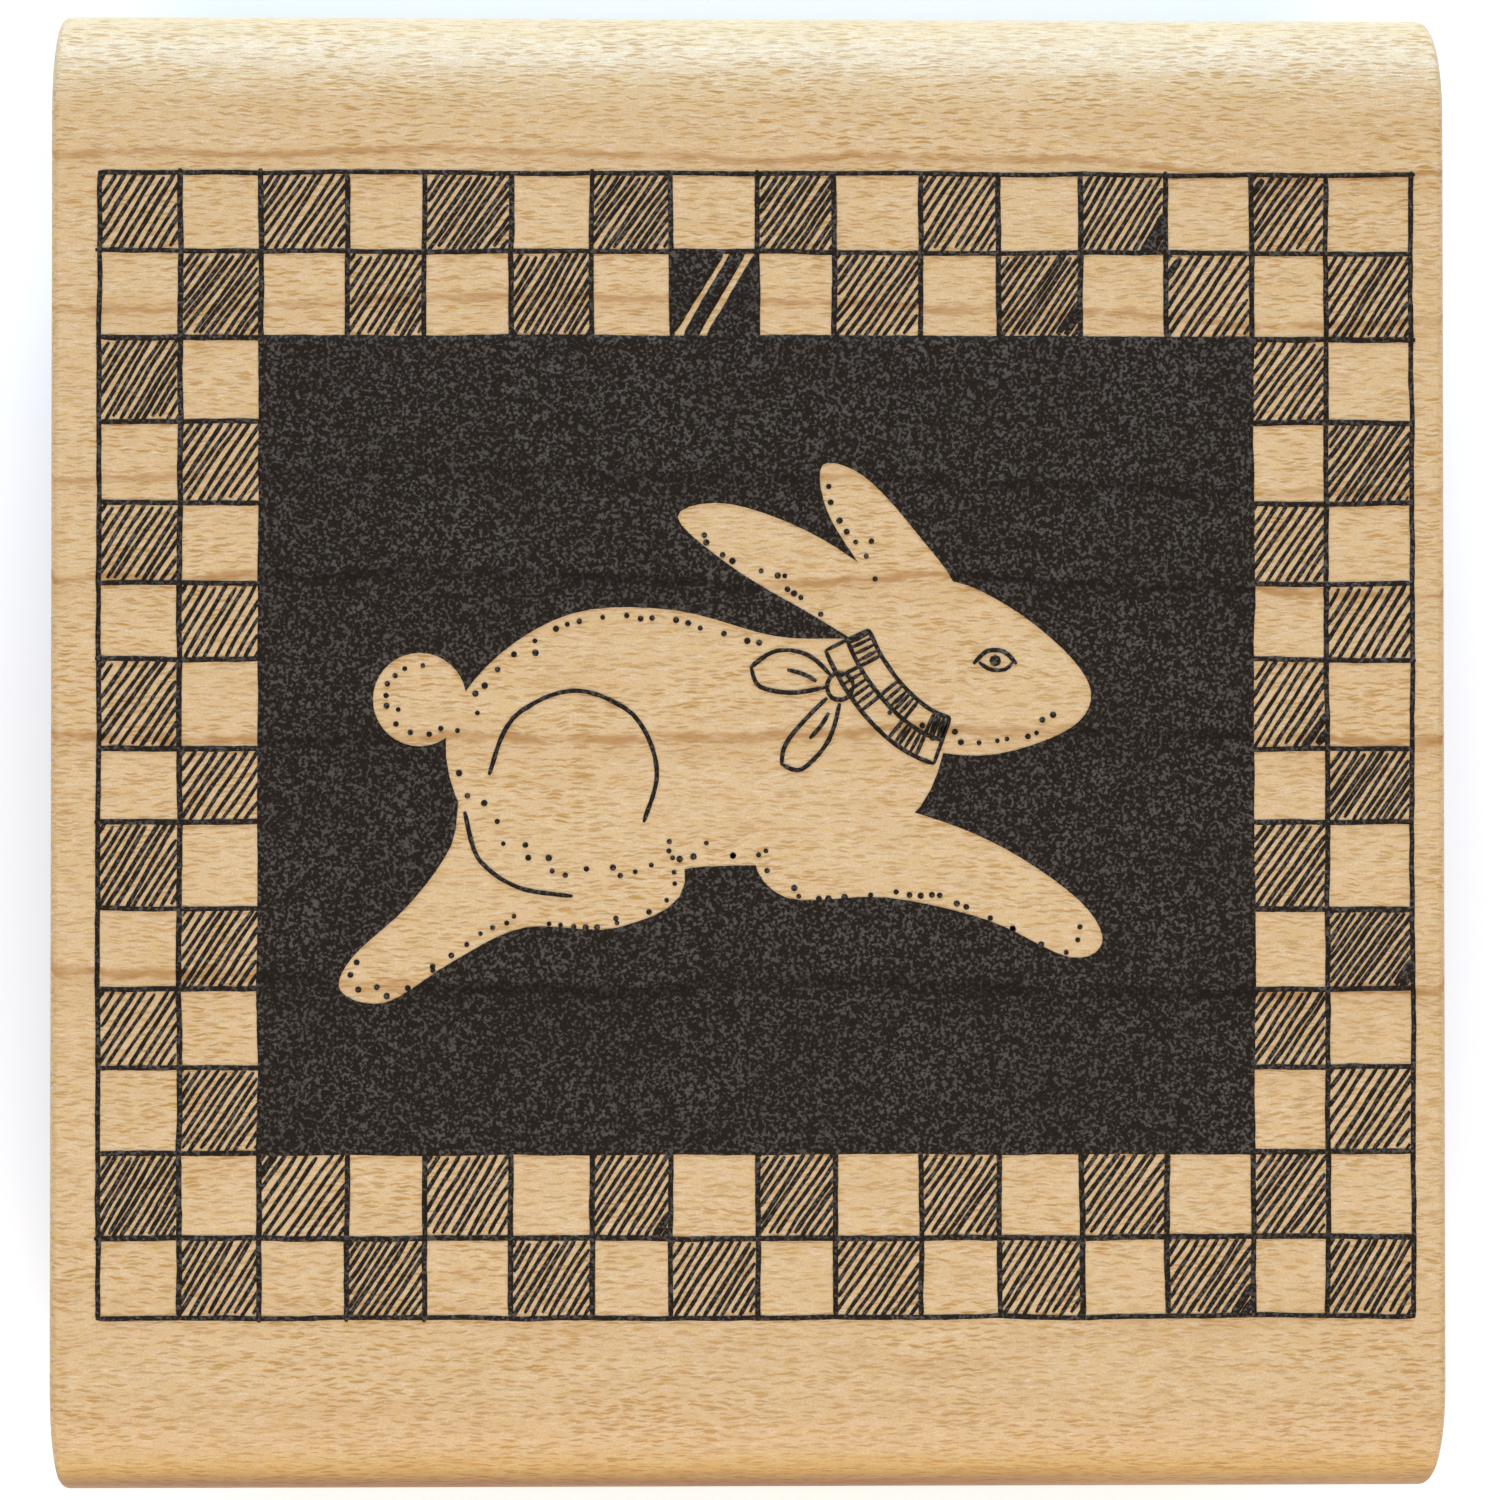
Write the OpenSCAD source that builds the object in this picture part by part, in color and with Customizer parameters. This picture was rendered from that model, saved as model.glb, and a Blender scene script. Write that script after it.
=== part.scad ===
// A wood-mounted rubber stamp: a moulded maple block with its picture printed on top, a foam cushion
// under it and a rubber die that prints the picture.
//
// The frame: the origin is at the middle of the printing face, +Z up through the block, X along the
// wood's grain and +Y towards the top of the picture. The die prints straight down, so its raised
// picture and the printed one have the same outline in this frame.

/* [Wood block] */
// Length of the block along the grain, from saw cut to saw cut
block_l = 76; // [60:1:110]
// Width of the moulded stick, across the grain
block_w = 82; // [65:1:110]
// Thickness of the wood
block_h = 19; // [15.5:0.5:30]
// Radius of the roundover along the two long top edges
roundover_r = 6.4; // [4:0.1:8]
// Height of the finger groove's mouth, before its edges are eased
groove_h = 7; // [5:0.5:9]
// Depth of the finger groove
groove_d = 2.8; // [1.5:0.1:3.4]
// Radius that eases the two edges of the finger groove
groove_ease_r = 0.8; // [0.3:0.1:1]
// Height of the flat between the finger groove's mouth and the roundover
shoulder_h = 1.2; // [1.2:0.1:3]
// Radius that eases the two long bottom edges
base_ease_r = 0.6; // [0.3:0.1:1]
// Radius that eases the four upright corners
corner_r = 0.6; // [0.3:0.1:2]

/* [Picture] */
// Room between a saw cut and the picture
side_margin = 2.25; // [1.8:0.05:5]
// Room between the start of a roundover and the picture
edge_margin = 3.5; // [1:0.1:6]
// Columns of squares in the border
columns = 16; // [10:1:24]
// Rows of squares in the border
rows = 14; // [10:1:24]
// Width of the border, in squares
border = 2; // [1:1:3]
// Width of a drawn line
line_w = 0.3; // [0.15:0.01:0.4]
// Width of a hatching stroke
stroke_w = 0.2; // [0.12:0.01:0.3]
// Distance from one hatching stroke to the next
stroke_pitch = 0.56; // [0.4:0.01:1]
// Slope of the hatching strokes, in degrees
stroke_slope = 57; // [45:1:75]
// Room between the hatching and the lines of its square
stroke_gap = 0.15; // [0.05:0.01:0.4]
// Least room round the animal in its dark panel
animal_margin = 6; // [3:0.5:12]
// How far the animal sits to the left of the panel's middle
animal_left = 1.5; // [0:0.1:3]

/* [Index print] */
// Thickness of the ink on the wood
ink_t = 0.05; // [0.03:0.01:0.2]
// How far the print sits to the right of the block's middle
print_x = 0.4; // [-1:0.1:1]
// How far the print sits above the block's middle
print_y = 0.3; // [-1:0.1:1]

/* [Cushion and die] */
// Height of the raised picture
relief_h = 1.1; // [0.8:0.1:1.6]
// Thickness of the rubber sheet behind it
sheet_t = 1.3; // [0.8:0.1:2]
// Thickness of the foam cushion
cushion_t = 3.2; // [2:0.1:6]
// Thickness of each adhesive film
film_t = 0.1; // [0.05:0.01:0.3]
// Rubber left round the picture where the die is trimmed
trim = 1; // [0.3:0.1:1.5]
// Radius of the trimmed corners
trim_r = 1.5; // [0.5:0.1:3]

/* [Hidden] */
$fn = 96;

// The stack, from the printing face up
die_h = relief_h + sheet_t;
cushion_z = die_h + film_t;
cushion_top = cushion_z + cushion_t;
block_z = cushion_top + film_t;

// The block's cross-section, in Y and Z from its own bottom face
half_w = block_w / 2;
groove_r = (groove_h * groove_h / 4 + groove_d * groove_d) / (2 * groove_d);
groove_y = half_w + groove_r - groove_d;
groove_z = block_h - roundover_r - shoulder_h - groove_h / 2;
ease_y = half_w - groove_ease_r;
ease_rise = sqrt(pow(groove_r + groove_ease_r, 2) - pow(groove_y - ease_y, 2));
ease_share = groove_r / (groove_r + groove_ease_r);

// The picture, its squares and its dark panel
picture_w = block_l - 2 * side_margin;
picture_d = block_w - 2 * (roundover_r + edge_margin);
cell_w = picture_w / columns;
cell_d = picture_d / rows;
panel_w = picture_w - 2 * border * cell_w;
panel_d = picture_d - 2 * border * cell_d;

// The animal, a leaping rabbit: smooth closed outlines through points round its own middle, drawn
// ANIMAL_W wide and ANIMAL_D high
ANIMAL_W = 41;
ANIMAL_D = 29;
TRUNK = [[-15.2, 0.2], [-13, 4.2], [-8.5, 7], [-3, 7.2], [2.5, 5.8], [7, 5.6], [10.8, 4.6], [11.6, 0.4],
         [9.6, -4], [4, -6.2], [-2, -6.6], [-8.5, -7.6], [-13.6, -4.6]];
HEAD = [[7, 3.6], [8, 7.2], [11.4, 8.8], [15, 7.4], [18.4, 4.6], [19.4, 2.4], [17.8, 0.6], [13.4, -0.6],
        [9, 0.4]];
NEAR_EAR = [[9.2, 6.6], [7, 9.6], [5.2, 12.6], [5, 15], [7.2, 14.4], [10, 11.4], [12.2, 8]];
FAR_EAR = [[8.6, 4.8], [4, 7.2], [0, 9.6], [-2.8, 12.2], [0, 12.9], [5, 11], [9.2, 7.6]];
HIND_LEG = [[-13.4, -1], [-14.9, -5.4], [-17.2, -8.6], [-20.2, -11.4], [-20.8, -13.2], [-18.4, -13.8],
            [-14.8, -11.6], [-11, -9.8], [-6, -9.8], [-2.4, -7.4], [-5, -1]];
FORE_LEG = [[5, -2.6], [10.4, -3.8], [14.8, -5.6], [18.8, -8.4], [20, -10.6], [18.2, -11.4], [13.8, -9.4],
            [8.4, -8.2], [3, -8.2], [1.4, -5.6]];
TAIL = [-16.6, 2.4];
TAIL_R = 2.5;
SPLINE_STEPS = 5;
animal_size = min((panel_w - 2 * animal_margin) / ANIMAL_W, (panel_d - 2 * animal_margin) / ANIMAL_D);

// A point on the smooth curve that runs from b to c, with a before it and d after it
function between(a, b, c, d, t) =
    0.5 * (2 * b + (c - a) * t + (2 * a - 5 * b + 4 * c - d) * t * t + (3 * b - a - 3 * c + d) * t * t * t);

// A smooth closed outline through the points
function smooth(points) = let (n = len(points)) [
    for (i = [0 : n - 1], k = [0 : SPLINE_STEPS - 1])
        between(points[(i + n - 1) % n], points[i], points[(i + 1) % n], points[(i + 2) % n],
                k / SPLINE_STEPS) * animal_size
];

// What is cut away to round an outer corner: all outside the circle that touches its two sides
module corner_cut(corner, touch_a, centre, touch_b, r) {
    difference() {
        polygon([corner, touch_a, centre, touch_b]);
        translate(centre) circle(r = r);
    }
}

// One side of the block's cross-section, as what is cut away from the plain stick
module side_cut() {
    groove = [groove_y, groove_z];
    translate(groove) circle(r = groove_r);
    for (s = [-1, 1]) {
        ease = [ease_y, groove_z + s * ease_rise];
        corner_cut([half_w, groove_z + s * groove_h / 2], [half_w, ease.y], ease,
                   groove + (ease - groove) * ease_share, groove_ease_r);
    }
    corner_cut([half_w, block_h], [half_w, block_h - roundover_r],
               [half_w - roundover_r, block_h - roundover_r], [half_w - roundover_r, block_h],
               roundover_r);
    corner_cut([half_w, 0], [half_w, base_ease_r], [half_w - base_ease_r, base_ease_r],
               [half_w - base_ease_r, 0], base_ease_r);
}

// A rectangle about the middle with rounded corners
module rounded(size, r) {
    square([size.x - 2 * r, size.y], center = true);
    square([size.x, size.y - 2 * r], center = true);
    for (sx = [-1, 1], sy = [-1, 1])
        translate([sx * (size.x / 2 - r), sy * (size.y / 2 - r)]) circle(r = r);
}

// The outline that the die, the cushion and the films are trimmed to
module trimmed() rounded([picture_w + 2 * trim, picture_d + 2 * trim], trim_r);

// The hatching of one square, whose middle is at the origin
module hatching() {
    reach = [cell_w / 2 - line_w / 2 - stroke_gap, cell_d / 2 - line_w / 2 - stroke_gap];
    run = [cos(stroke_slope), sin(stroke_slope)];
    count = floor((reach.x * run.y + reach.y * run.x - stroke_w) / stroke_pitch);
    for (k = [-count : count]) {
        at = k * stroke_pitch * [run.y, -run.x];
        first = max((-reach.x - at.x) / run.x, (-reach.y - at.y) / run.y);
        last = min((reach.x - at.x) / run.x, (reach.y - at.y) / run.y);
        if (last - first > 2 * stroke_w)
            translate(at) rotate(stroke_slope)
                translate([first, -stroke_w / 2]) square([last - first, stroke_w]);
    }
}

module animal() {
    for (outline = [TRUNK, HEAD, NEAR_EAR, FAR_EAR, HIND_LEG, FORE_LEG]) polygon(smooth(outline));
    translate(TAIL * animal_size) circle(r = TAIL_R * animal_size);
}

// The whole picture: the ruled border, its hatched squares and the dark panel with the animal left
// out of it
module picture() {
    difference() {
        union() {
            for (c = [0 : columns])
                translate([c * cell_w - picture_w / 2, 0])
                    square([line_w, picture_d + line_w], center = true);
            for (r = [0 : rows])
                translate([0, r * cell_d - picture_d / 2])
                    square([picture_w + line_w, line_w], center = true);
            square([panel_w, panel_d], center = true);
        }
        translate([-animal_left, 0]) animal();
    }
    for (c = [0 : columns - 1], r = [0 : rows - 1]) {
        at_side = c < border || c >= columns - border;
        at_end = r < border || r >= rows - border;
        if ((at_side || at_end) && (c + r) % 2 == 0)
            translate([(c + 0.5) * cell_w - picture_w / 2, picture_d / 2 - (r + 0.5) * cell_d]) hatching();
    }
}

module wood_block() {
    color("burlywood") translate([0, 0, block_z]) intersection() {
        rotate([90, 0, 90]) translate([0, 0, -block_l / 2]) linear_extrude(block_l) difference() {
            translate([-half_w, 0]) square([block_w, block_h]);
            side_cut();
            mirror([1, 0]) side_cut();
        }
        linear_extrude(block_h) rounded([block_l, block_w], corner_r);
    }
}

module index_print() {
    color("darkslategray") translate([print_x, print_y, block_z + block_h])
        linear_extrude(ink_t) picture();
}

module block_adhesive() {
    color("gainsboro") translate([0, 0, cushion_top]) linear_extrude(film_t) trimmed();
}

module foam_cushion() {
    color("dimgray") translate([0, 0, cushion_z]) linear_extrude(cushion_t) trimmed();
}

module die_adhesive() {
    color("gainsboro") translate([0, 0, die_h]) linear_extrude(film_t) trimmed();
}

module rubber_die() {
    color("indianred") {
        translate([0, 0, relief_h]) linear_extrude(sheet_t) trimmed();
        linear_extrude(relief_h) picture();
    }
}

wood_block();
index_print();
block_adhesive();
foam_cushion();
die_adhesive();
rubber_die();
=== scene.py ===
"""The looks of a wood-mounted rubber stamp, as a small add-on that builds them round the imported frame.

Lengths in the outlines are written in millimetres from the picture's middle and turned into metres
with MM. The frame's own boxes say where the block, the print, the cushion and the die are.
"""

import math
import random

import bmesh
import bpy
from bpy.props import FloatProperty, FloatVectorProperty, IntProperty, PointerProperty
from mathutils import Matrix, Vector


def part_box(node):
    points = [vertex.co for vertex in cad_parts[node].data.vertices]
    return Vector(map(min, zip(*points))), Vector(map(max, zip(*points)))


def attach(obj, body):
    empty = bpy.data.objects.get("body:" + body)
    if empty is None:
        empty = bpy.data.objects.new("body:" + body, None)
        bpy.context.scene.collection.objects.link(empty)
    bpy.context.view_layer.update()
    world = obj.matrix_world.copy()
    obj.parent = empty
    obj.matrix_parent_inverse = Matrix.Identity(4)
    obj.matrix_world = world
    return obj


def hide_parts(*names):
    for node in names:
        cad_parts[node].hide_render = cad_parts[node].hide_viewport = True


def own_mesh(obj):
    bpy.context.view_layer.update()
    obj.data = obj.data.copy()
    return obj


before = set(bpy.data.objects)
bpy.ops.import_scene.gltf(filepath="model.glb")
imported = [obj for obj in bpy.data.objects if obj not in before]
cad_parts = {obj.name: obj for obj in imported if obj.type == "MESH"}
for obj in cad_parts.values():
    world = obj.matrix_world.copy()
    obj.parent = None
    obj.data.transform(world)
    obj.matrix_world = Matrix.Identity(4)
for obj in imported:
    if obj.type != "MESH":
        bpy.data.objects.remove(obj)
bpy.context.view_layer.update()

bl_info = {
    "name": "Wood-Mounted Rubber Stamp",
    "version": (1, 0, 0),
    "blender": (4, 5, 0),
    "location": "View3D > Sidebar > Stamp",
    "description": "Builds a maple block stamp with its printed picture, foam cushion and rubber die",
    "category": "Add Mesh",
}

MM = 0.001
BLOCK_LOW, BLOCK_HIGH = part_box("wood_block")
PRINT_LOW, PRINT_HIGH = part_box("index_print")
CUSHION_LOW, CUSHION_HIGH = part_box("foam_cushion")
DIE_LOW, DIE_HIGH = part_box("rubber_die")

# The frame's outer lines are centred on the picture's edge, and this wide
FRAME_LINE = 0.3 * MM
PICTURE = Vector((PRINT_HIGH - PRINT_LOW).xy) - Vector((FRAME_LINE, FRAME_LINE))
# How far the print is let into the wood, so that no gap shows under it
PRINT_SUNK = 0.01 * MM
# The die: the height of its raised picture, how far that is let into the sheet, the radius of its
# trimmed corners, and the squares that the sheet's faces are divided into
RELIEF = 1.1 * MM
RELIEF_SUNK = 0.2 * MM
TRIM_RADIUS = 1.5 * MM
SHEET_SQUARE = 1.3 * MM
# The cushion's cut sides: how hollow they are, how uneven, and the rings and steps they are made of
FOAM_HOLLOW = 0.22 * MM
FOAM_UNEVEN = 0.05 * MM
FOAM_RINGS = 7
FOAM_STEP = 1.0 * MM

# The stage: half the floor's side, how far it lies below the die, and the soft lights, each with its
# place, size, power in watts and colour, all turned to one point in the block
FLOOR_HALF = 6.0
FLOOR_BELOW = 0.02 * MM
LIT_POINT = Vector((0, 0, 0.02))
LIGHTS = (
    ("overhead", (0, -0.08, 0.70), (0.6, 0.6), 2.72, (1.0, 0.93, 0.91)),
    ("far_softbox", (0, 0.45, 0.12), (0.9, 0.24), 6.2, (0.48, 0.71, 1.0)),
    ("near_fill", (0, -0.42, 0.30), (0.7, 0.30), 1.9, (1.0, 0.98, 0.95)),
)
# The camera: its height above the block, how far left of the middle it stands, the width that it
# shows, its two small tilts and the width of its sensor in mm
CAMERA_ABOVE = 210 * MM
CAMERA_LEFT = 9 * MM
CAMERA_SHOWS = 81.54 * MM
CAMERA_TILT = (math.radians(0.7), math.radians(-1.0))
SENSOR_WIDTH = 36

# The leaping rabbit, as smooth closed outlines round its own middle
RABBIT = {
    "trunk": [(-15.2, 0.2), (-13, 4.2), (-8.5, 7), (-3, 7.2), (2.5, 5.8), (7, 5.6), (10.8, 4.6),
              (11.6, 0.4), (9.6, -4), (4, -6.2), (-2, -6.6), (-8.5, -7.6), (-13.6, -4.6)],
    "head": [(7, 3.6), (8, 7.2), (11.4, 8.8), (15, 7.4), (18.4, 4.6), (19.4, 2.4), (17.8, 0.6),
             (13.4, -0.6), (9, 0.4)],
    "near_ear": [(9.2, 6.6), (7, 9.6), (5.2, 12.6), (5, 15), (7.2, 14.4), (10, 11.4), (12.2, 8)],
    "far_ear": [(8.6, 4.8), (4, 7.2), (0, 9.6), (-2.8, 12.2), (0, 12.9), (5, 11), (9.2, 7.6)],
    "hind_leg": [(-13.4, -1), (-14.9, -5.4), (-17.2, -8.6), (-20.2, -11.4), (-20.8, -13.2),
                 (-18.4, -13.8), (-14.8, -11.6), (-11, -9.8), (-6, -9.8), (-2.4, -7.4), (-5, -1)],
    "fore_leg": [(5, -2.6), (10.4, -3.8), (14.8, -5.6), (18.8, -8.4), (20, -10.6), (18.2, -11.4),
                 (13.8, -9.4), (8.4, -8.2), (3, -8.2), (1.4, -5.6)],
}
RABBIT_WIDTH = 41
RABBIT_HEIGHT = 29
TAIL = (-16.6, 2.4)
TAIL_RADIUS = 2.5

# Ink lines inside the rabbit: its thigh, its hock and its upper eyelid, then its lower eyelid
INNER_LINES = [
    [(-12.9, -1.6), (-11.6, 1.4), (-8.4, 2.9), (-5.2, 1.6), (-3.9, -1.4), (-4.6, -4.2)],
    [(-14.2, -3.6), (-13.4, -6.2), (-11.2, -7.7), (-8.4, -8.1)],
    [(13.1, 4.3), (13.8, 5.0), (14.7, 5.0), (15.4, 4.3)],
]
LOWER_LID = [(13.4, 4.4), (14, 4.0), (14.8, 4.0), (15.2, 4.4)]
PUPIL = (14.25, 4.5)
PUPIL_RADIUS = 0.32
# The ribbon round the rabbit's neck: its centre line, its width and the squares along it
NECK_BAND = ([(6.3, 5.6), (7.2, 3.8), (8.7, 1.9), (10.2, 0.7), (11.4, 0.2)], 2.6, 5)
# Its bow: the two loops' outer sides and creases, the loops' inner sides, and the knot
BOW_OUTER = [
    [(5.4, 3.7), (4.2, 4.8), (2.4, 5.0), (1.1, 4.1)],
    [(5.2, 2.5), (4.2, 1.5), (3.0, 0.0), (2.8, -1.1)],
    [(4.6, 3.4), (3.9, 3.8), (3.1, 4.0)],
    [(5.3, 1.7), (4.9, 1.0), (4.3, 0.3)],
]
BOW_INNER = [
    [(1.15, 4.15), (1.6, 3.1), (3.4, 2.8), (5.2, 3.1)],
    [(2.8, -1.05), (3.9, -1.3), (5.3, 0.2), (5.9, 2.2)],
]
KNOT = ((5.9, 3.1), 0.75)
# How much wider than a hatching stroke the lines inside the rabbit are
MARK_WIDTH = 1.15
# Which stretches of the rabbit's outlines are stippled, as shares of the way round each
STIPPLED = (
    ("trunk", 0.0, 0.3), ("trunk", 0.72, 0.98), ("hind_leg", 0.28, 0.86), ("fore_leg", 0.36, 0.92),
    ("head", 0.62, 0.94), ("near_ear", 0.08, 0.4), ("far_ear", 0.1, 0.42),
)

# The step that pen lines are divided into
PEN_STEP = 0.3 * MM
# How far the border's inner lines stray from even squares
LINE_STRAY = 0.26 * MM
# The row of the one heavily inked square, and the strokes of it that took no ink
HEAVY_ROW = 1
HEAVY_GAPS = (7, 10)


class StampSizes(bpy.types.PropertyGroup):
    """The sizes that the frame's boxes don't give."""

    roundover: FloatProperty(
        name="Roundover Radius", description="Radius of the two long top edges of the block",
        default=6.4 * MM, min=4 * MM, max=8 * MM, unit="LENGTH")
    groove_height: FloatProperty(
        name="Groove Height", description="Height of a finger groove's mouth",
        default=7 * MM, min=5 * MM, max=9 * MM, unit="LENGTH")
    groove_depth: FloatProperty(
        name="Groove Depth", description="Depth of a finger groove",
        default=2.8 * MM, min=1.5 * MM, max=3.4 * MM, unit="LENGTH")
    groove_ease: FloatProperty(
        name="Groove Ease", description="Radius that eases a finger groove's two edges",
        default=0.8 * MM, min=0.3 * MM, max=1 * MM, unit="LENGTH")
    shoulder: FloatProperty(
        name="Shoulder", description="Height of the flat between the groove and the roundover",
        default=1.2 * MM, min=1.2 * MM, max=3 * MM, unit="LENGTH")
    base_ease: FloatProperty(
        name="Base Ease", description="Radius that eases the block's two long bottom edges",
        default=0.6 * MM, min=0.3 * MM, max=1 * MM, unit="LENGTH")
    end_ease: FloatProperty(
        name="End Ease", description="Radius that eases the edges round the two saw cuts",
        default=0.5 * MM, min=0.1 * MM, max=0.6 * MM, unit="LENGTH")
    columns: IntProperty(
        name="Columns", description="Squares across the picture", default=16, min=10, max=24)
    rows: IntProperty(
        name="Rows", description="Squares down the picture", default=14, min=10, max=24)
    border: IntProperty(
        name="Border", description="Width of the checked border, in squares", default=2, min=1, max=3)
    line: FloatProperty(
        name="Line Width", description="Width of a ruled line of the border",
        default=0.29 * MM, min=0.1 * MM, max=0.5 * MM, unit="LENGTH")
    stroke: FloatProperty(
        name="Stroke Width", description="Width of a hatching stroke",
        default=0.21 * MM, min=0.1 * MM, max=0.4 * MM, unit="LENGTH")
    pitch: FloatProperty(
        name="Stroke Pitch", description="Distance from one hatching stroke to the next",
        default=0.41 * MM, min=0.3 * MM, max=1 * MM, unit="LENGTH")
    slope: FloatProperty(
        name="Stroke Slope", description="Slope of the hatching strokes",
        default=math.radians(57), min=math.radians(40), max=math.radians(75), subtype="ANGLE")
    wobble: FloatProperty(
        name="Wobble", description="How far the drawing hand strays from a line",
        default=0.05 * MM, min=0, max=0.2 * MM, unit="LENGTH")
    rabbit_margin: FloatProperty(
        name="Rabbit Margin", description="Least room round the rabbit in its dark panel",
        default=6 * MM, min=3 * MM, max=12 * MM, unit="LENGTH")
    rabbit_left: FloatProperty(
        name="Rabbit Left", description="How far the rabbit sits to the left of the panel's middle",
        default=1.5 * MM, min=0, max=3 * MM, unit="LENGTH")
    seed: IntProperty(
        name="Seed", description="Seed of everything that a hand made uneven", default=7, min=0)


class StampColours(bpy.types.PropertyGroup):
    """The finishes' main colours."""

    maple: FloatVectorProperty(
        name="Maple", description="Bare maple between its rays", size=3, subtype="COLOR",
        default=(0.580, 0.400, 0.206), min=0, max=1)
    ray: FloatVectorProperty(
        name="Ray", description="The short dark rays of the maple", size=3, subtype="COLOR",
        default=(0.405, 0.185, 0.010), min=0, max=1)
    ring: FloatVectorProperty(
        name="Ring", description="The dark line at the end of a year's growth", size=3,
        subtype="COLOR", default=(0.340, 0.140, 0.010), min=0, max=1)
    ink: FloatVectorProperty(
        name="Ink", description="The print's ink", size=3, subtype="COLOR",
        default=(0.0130, 0.0078, 0.0042), min=0, max=1)
    thin_ink: FloatVectorProperty(
        name="Thin Ink", description="The ink where it took badly", size=3, subtype="COLOR",
        default=(0.078, 0.066, 0.055), min=0, max=1)
    foam: FloatVectorProperty(
        name="Foam", description="The cushion's foam", size=3, subtype="COLOR",
        default=(0.063, 0.059, 0.054), min=0, max=1)
    film: FloatVectorProperty(
        name="Film", description="The adhesive films", size=3, subtype="COLOR",
        default=(0.62, 0.60, 0.53), min=0, max=1)
    rubber: FloatVectorProperty(
        name="Rubber", description="The die's moulded rubber", size=3, subtype="COLOR",
        default=(0.330, 0.085, 0.052), min=0, max=1)
    floor: FloatVectorProperty(
        name="Floor", description="The pale floor", size=3, subtype="COLOR",
        default=(0.98, 0.98, 0.98), min=0, max=1)


# Node trees


def add(tree, kind, inputs=None, **settings):
    """Adds a node. inputs gives each socket, by name or place, a value or the socket it comes from."""
    node = tree.nodes.new(kind)
    for name, value in settings.items():
        setattr(node, name, value)
    for key, value in (inputs or {}).items():
        if isinstance(value, bpy.types.NodeSocket):
            tree.links.new(value, node.inputs[key])
        else:
            node.inputs[key].default_value = value
    return node


def math_node(tree, operation, *values):
    """The result of one Math node."""
    return add(tree, "ShaderNodeMath", dict(enumerate(values)), operation=operation).outputs[0]


def vector_node(tree, operation, *values):
    """The vector that one Vector Math node gives."""
    return add(tree, "ShaderNodeVectorMath", dict(enumerate(values)), operation=operation).outputs[0]


def length_of(tree, vector):
    """The length of a vector."""
    node = add(tree, "ShaderNodeVectorMath", {0: vector}, operation="LENGTH")
    return node.outputs["Value"]


def mix_colour(tree, share, first, second, blend="MIX"):
    """A colour mixed from two, each a colour or a socket."""
    node = tree.nodes.new("ShaderNodeMix")
    node.data_type, node.blend_type = "RGBA", blend
    for place, value in ((0, share), (6, first), (7, second)):
        if isinstance(value, bpy.types.NodeSocket):
            tree.links.new(value, node.inputs[place])
        elif place:
            node.inputs[place].default_value = (*value[:3], 1)
        else:
            node.inputs[place].default_value = value
    return node.outputs[2]


def smooth_step(tree, value, low, high, bottom=0.0, top=1.0):
    """value taken smoothly from bottom, at low, to top, at high."""
    node = add(tree, "ShaderNodeMapRange", {"Value": value, "From Min": low, "From Max": high,
                                            "To Min": bottom, "To Max": top})
    node.interpolation_type = "SMOOTHSTEP"
    return node.outputs["Result"]


def noise_at(tree, where, size, seed, detail=2.0, roughness=0.5, distortion=0.0):
    """Noise from 0 to 1 whose features are size mm long in X, Y and Z."""
    stretched = add(tree, "ShaderNodeMapping", {
        "Vector": where, "Location": (seed * 3.7, seed * 1.9, seed * 2.3),
        "Scale": tuple(1 / s for s in size)})
    node = add(tree, "ShaderNodeTexNoise", {
        "Vector": stretched.outputs[0], "Scale": 1.0, "Detail": detail, "Roughness": roughness,
        "Distortion": distortion})
    return node.outputs["Fac"]


def wander(tree, where, size, seed, detail, reach):
    """Noise from minus half of reach to half of it, whose features are size mm long."""
    noise = noise_at(tree, where, size, seed, detail=detail)
    return math_node(tree, "MULTIPLY_ADD", noise, reach, -reach / 2)


def new_material(name):
    """A material with an empty tree, its Principled shader and its Object coordinates in mm."""
    material = bpy.data.materials.new(name)
    material.use_nodes = True
    tree = material.node_tree
    tree.nodes.clear()
    shader = tree.nodes.new("ShaderNodeBsdfPrincipled")
    output = tree.nodes.new("ShaderNodeOutputMaterial")
    tree.links.new(shader.outputs[0], output.inputs["Surface"])
    place = add(tree, "ShaderNodeMapping", {
        "Vector": tree.nodes.new("ShaderNodeTexCoord").outputs["Object"],
        "Scale": (1 / MM, 1 / MM, 1 / MM)})
    return material, tree, shader, place.outputs[0]


def bump(tree, shader, height, depth):
    """Gives the shader relief that is depth mm deep."""
    node = add(tree, "ShaderNodeBump", {"Height": height, "Strength": 1.0, "Distance": depth * MM})
    tree.links.new(node.outputs[0], shader.inputs["Normal"])


# Where the year lines cross the top of the block, in mm above its middle, and how dark each is
YEAR_LINES = ((32.2, 0.85), (24.0, 0.8), (14.2, 0.75), (8.3, 1.0), (-0.4, 0.95), (-13.4, 1.0),
              (-31.0, 0.2))
# The pith of the tree, in mm: how far below the block's top it lies, and at which Y
PITH_DEPTH = 70
PITH_Y = -52


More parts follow.
